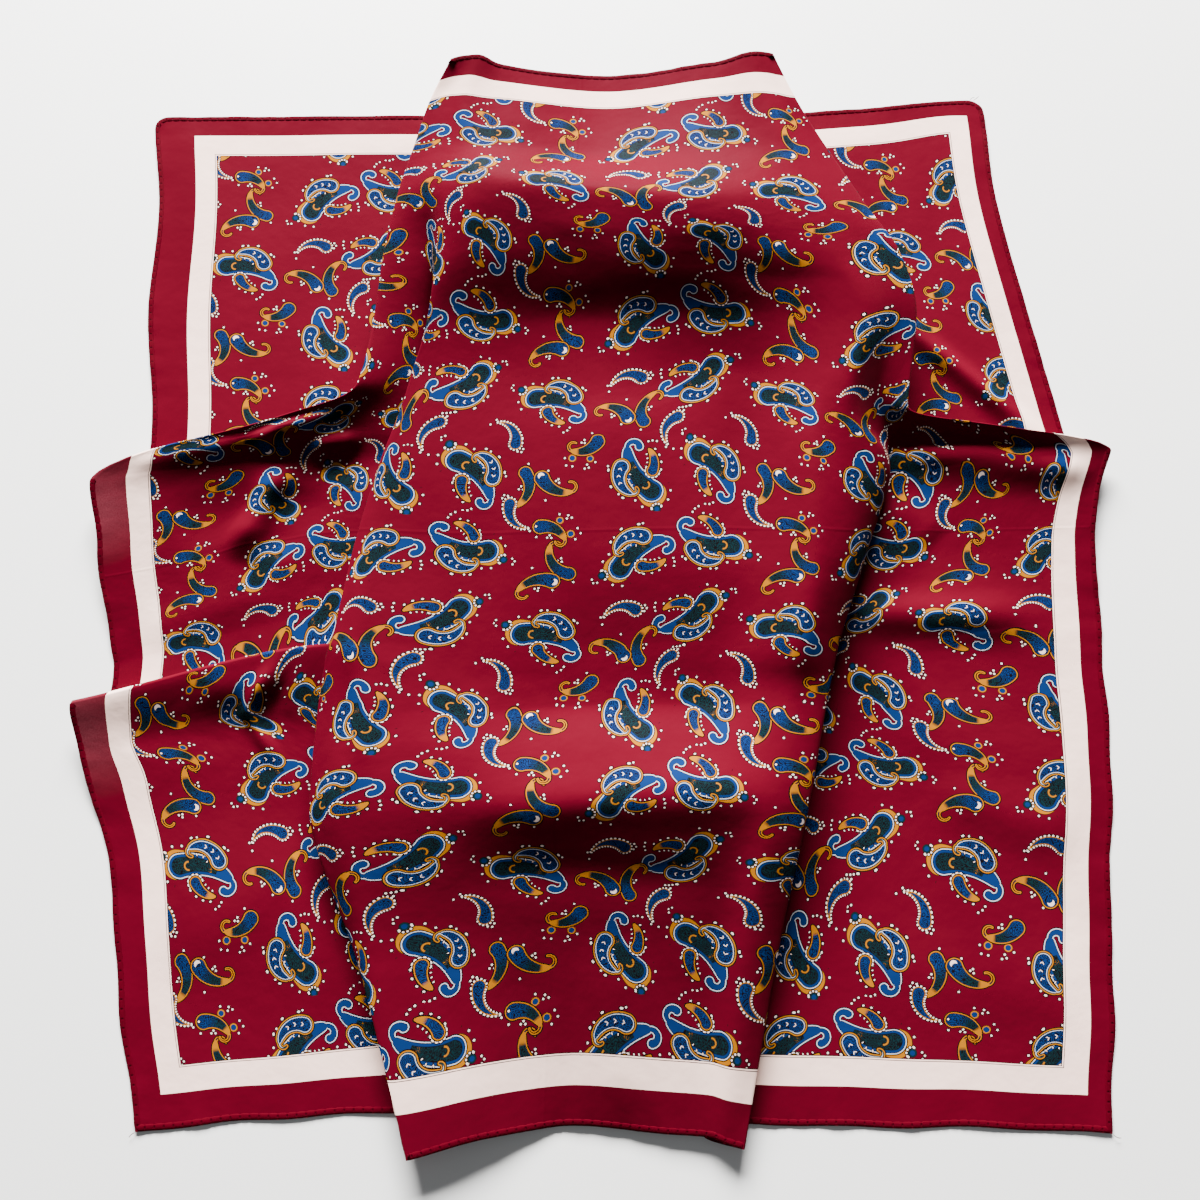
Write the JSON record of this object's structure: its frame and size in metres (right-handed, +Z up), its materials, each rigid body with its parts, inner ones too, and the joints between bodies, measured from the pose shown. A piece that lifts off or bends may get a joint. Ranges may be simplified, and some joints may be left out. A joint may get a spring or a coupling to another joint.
{
  "type": "square scarf",
  "caption": "Square printed satin scarf with narrow rolled hems, its sides folded under a raised middle panel, lying loosely.",
  "frame": {"origin": "on the surface the scarf lies on, under the middle of its box", "axes": "+Z up from the surface, +Y from the bottom hem to the top hem, +X from the left side hem to the right one"},
  "size_m": [0.6174, 0.659, 0.0552],
  "materials": {
    "printed_satin": "satin",
    "rolled_hem": "satin"
  },
  "bodies": {
    "root": {"centre_panel": "printed_satin", "left_middle": "printed_satin", "left_bottom": "printed_satin", "right_lower": "printed_satin", "left_top": "printed_satin", "right_top": "printed_satin", "fold_left": "printed_satin", "fold_right": "printed_satin", "fold_left_top": "printed_satin", "fold_right_top": "printed_satin", "hem_top_centre": "rolled_hem", "hem_bottom_centre": "rolled_hem", "hem_top_left": "rolled_hem", "hem_left_top": "rolled_hem", "hem_left_middle": "rolled_hem", "hem_left_bottom": "rolled_hem", "hem_bottom_left": "rolled_hem", "hem_top_right": "rolled_hem", "hem_right_top": "rolled_hem", "hem_right_lower": "rolled_hem", "hem_bottom_right": "rolled_hem"}
  },
  "joints": []
}
